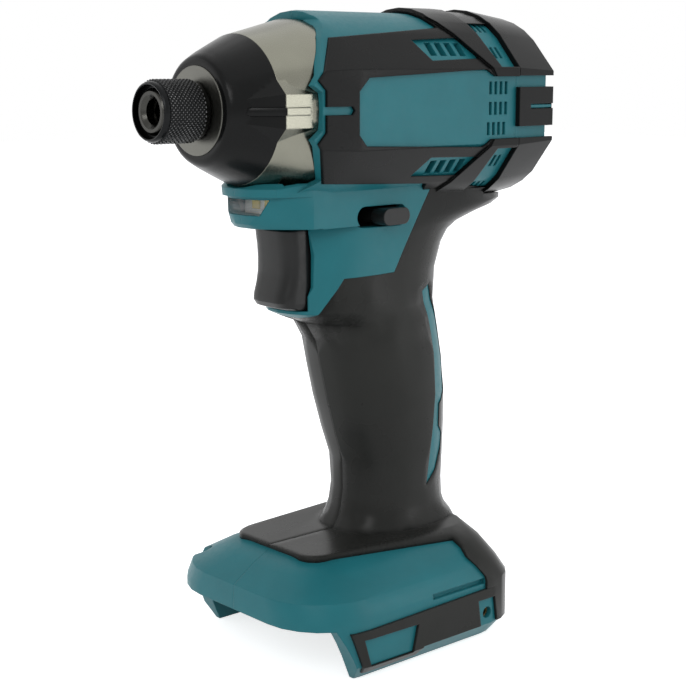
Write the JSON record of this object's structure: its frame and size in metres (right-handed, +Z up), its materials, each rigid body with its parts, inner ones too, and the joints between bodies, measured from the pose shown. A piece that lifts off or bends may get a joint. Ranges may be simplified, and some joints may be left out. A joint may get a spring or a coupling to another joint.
{
  "type": "cordless impact driver",
  "caption": "Cordless impact driver without its battery: pistol grip, spring-loaded bit sleeve, planetary gears, hammer and anvil, trigger, reversing lever and battery rails.",
  "frame": {"origin": "in the tool's middle plane, under the middle of its length, level with the undersides of the battery rails", "axes": "+X forward along the spindle to the bit sleeve, +Y to the tool's left side, +Z up"},
  "size_m": [0.1449, 0.081, 0.2033],
  "materials": {
    "housing": "fine moulded texture, teal",
    "soft": "matte soft overmould, black",
    "black_plastic": "moulded, black",
    "case": "satin, as cast and blasted",
    "steel": "turned and hardened",
    "dark_steel": "black oxide",
    "bronze": "plain turned",
    "copper": "varnished winding wire and bars",
    "magnet": "sintered ferrite",
    "board": "circuit board with two lamps",
    "lens": "clear moulded"
  },
  "bodies": {
    "tool": {"housing_left": "housing", "housing_right": "housing", "rear_cover": "housing", "soft_cover_left": "soft", "soft_cover_right": "soft", "rear_cover_pads": "soft", "nose_bumper": "soft", "rear_cover_screws": "dark_steel", "housing_screws": "dark_steel", "hammer_case": "case", "anvil_bush": "bronze", "ring_gear": "dark_steel", "spindle_bearing": "steel", "bearing_box": "black_plastic", "motor_bearings": "steel", "yoke": "steel", "magnets": "magnet", "brush_holder": "black_plastic", "brushes": "magnet", "switch_body": "black_plastic", "trigger_spring": "steel", "lamp_board": "board", "lamp_lens": "lens", "terminal_block": "black_plastic", "terminal_blades": "bronze", "hook_inserts": "bronze"},
    "spindle": {"spindle": "steel", "planet_pins": "dark_steel", "cam_balls": "steel", "hammer_spring": "steel"},
    "hammer": {"hammer": "dark_steel"},
    "planet_left": {"planet_gear_left": "steel"},
    "planet_right": {"planet_gear_right": "steel"},
    "rotor": {"pinion": "steel", "armature": "dark_steel", "windings": "copper", "commutator": "copper", "fan": "black_plastic"},
    "anvil": {"anvil": "dark_steel", "bit_balls": "steel", "sleeve_ring": "dark_steel", "sleeve_spring": "steel"},
    "sleeve": {"bit_sleeve": "dark_steel"},
    "trigger": {"trigger": "black_plastic"},
    "lever": {"reversing_lever": "black_plastic"}
  },
  "joints": [
    {"name": "rotor_spin", "type": "hinge", "parent": "tool", "child": "rotor", "pos_m": [-0.0425, 0, 0.172], "axis": [1, 0, 0], "continuous": true},
    {"name": "spindle_spin", "type": "hinge", "parent": "tool", "child": "spindle", "pos_m": [0.0025, 0, 0.172], "axis": [1, 0, 0], "continuous": true},
    {"name": "planet_left_spin", "type": "hinge", "parent": "spindle", "child": "planet_left", "pos_m": [0.0008, 0.012, 0.172], "axis": [1, 0, 0], "continuous": true},
    {"name": "planet_right_spin", "type": "hinge", "parent": "spindle", "child": "planet_right", "pos_m": [0.0008, -0.012, 0.172], "axis": [1, 0, 0], "continuous": true},
    {"name": "hammer_back_off", "type": "slide", "parent": "spindle", "child": "hammer", "axis": [-1, 0, 0], "range_m": [0, 0.006], "stiffness_N_per_m": 3000, "springref_m": -0.004, "deforming": ["hammer_spring"]},
    {"name": "anvil_spin", "type": "hinge", "parent": "tool", "child": "anvil", "pos_m": [0.0475, 0, 0.172], "axis": [1, 0, 0], "continuous": true},
    {"name": "sleeve_pull", "type": "slide", "parent": "anvil", "child": "sleeve", "axis": [1, 0, 0], "range_m": [0, 0.004], "stiffness_N_per_m": 500, "springref_m": -0.003, "deforming": ["sleeve_spring"]},
    {"name": "trigger_pull", "type": "slide", "parent": "tool", "child": "trigger", "axis": [-1, 0, 0], "range_m": [0, 0.007], "stiffness_N_per_m": 600, "springref_m": -0.004, "deforming": ["trigger_spring"]},
    {"name": "lever_swing", "type": "hinge", "parent": "tool", "child": "lever", "pos_m": [-0.0285, 0, 0.139], "axis": [0, 0, 1], "range_deg": [-11.7, 0]}
  ],
  "couplings": [
    {"joint": "spindle_spin", "follows": "rotor_spin", "ratio": 0.20833},
    {"joint": "planet_left_spin", "follows": "rotor_spin", "ratio": -0.56548},
    {"joint": "planet_right_spin", "follows": "rotor_spin", "ratio": -0.56548},
    {"joint": "anvil_spin", "follows": "rotor_spin", "ratio": 0.20833}
  ]
}
